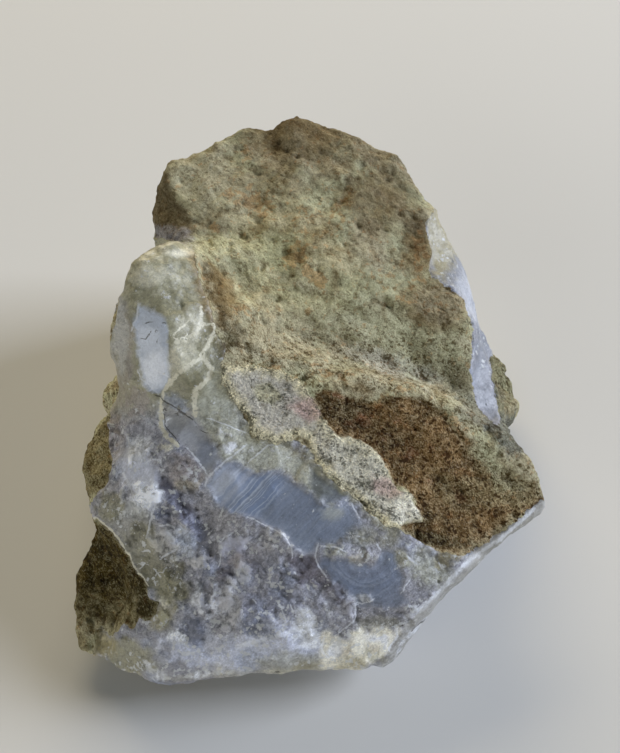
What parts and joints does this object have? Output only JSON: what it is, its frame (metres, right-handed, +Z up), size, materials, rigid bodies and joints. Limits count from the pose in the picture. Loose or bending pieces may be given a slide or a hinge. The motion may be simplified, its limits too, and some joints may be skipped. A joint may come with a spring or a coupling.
{
  "type": "rough blue lace agate hand specimen",
  "caption": "Rough broken piece of an agate vein with brown wall rock still grown on it, resting on a small flat spot, for display on a shelf or desk.",
  "frame": {"origin": "middle of the stone's footprint box, on the surface it rests on", "axes": "+Z up, -Y towards the large broken face of agate, +X to its right"},
  "size_m": [0.0888, 0.105, 0.0504],
  "materials": {
    "stone": "waxy slate-blue and lilac chalcedony on its breaks, matt granular brown and green-grey rock elsewhere"
  },
  "bodies": {
    "root": {"agate_stone": "stone"}
  },
  "joints": []
}
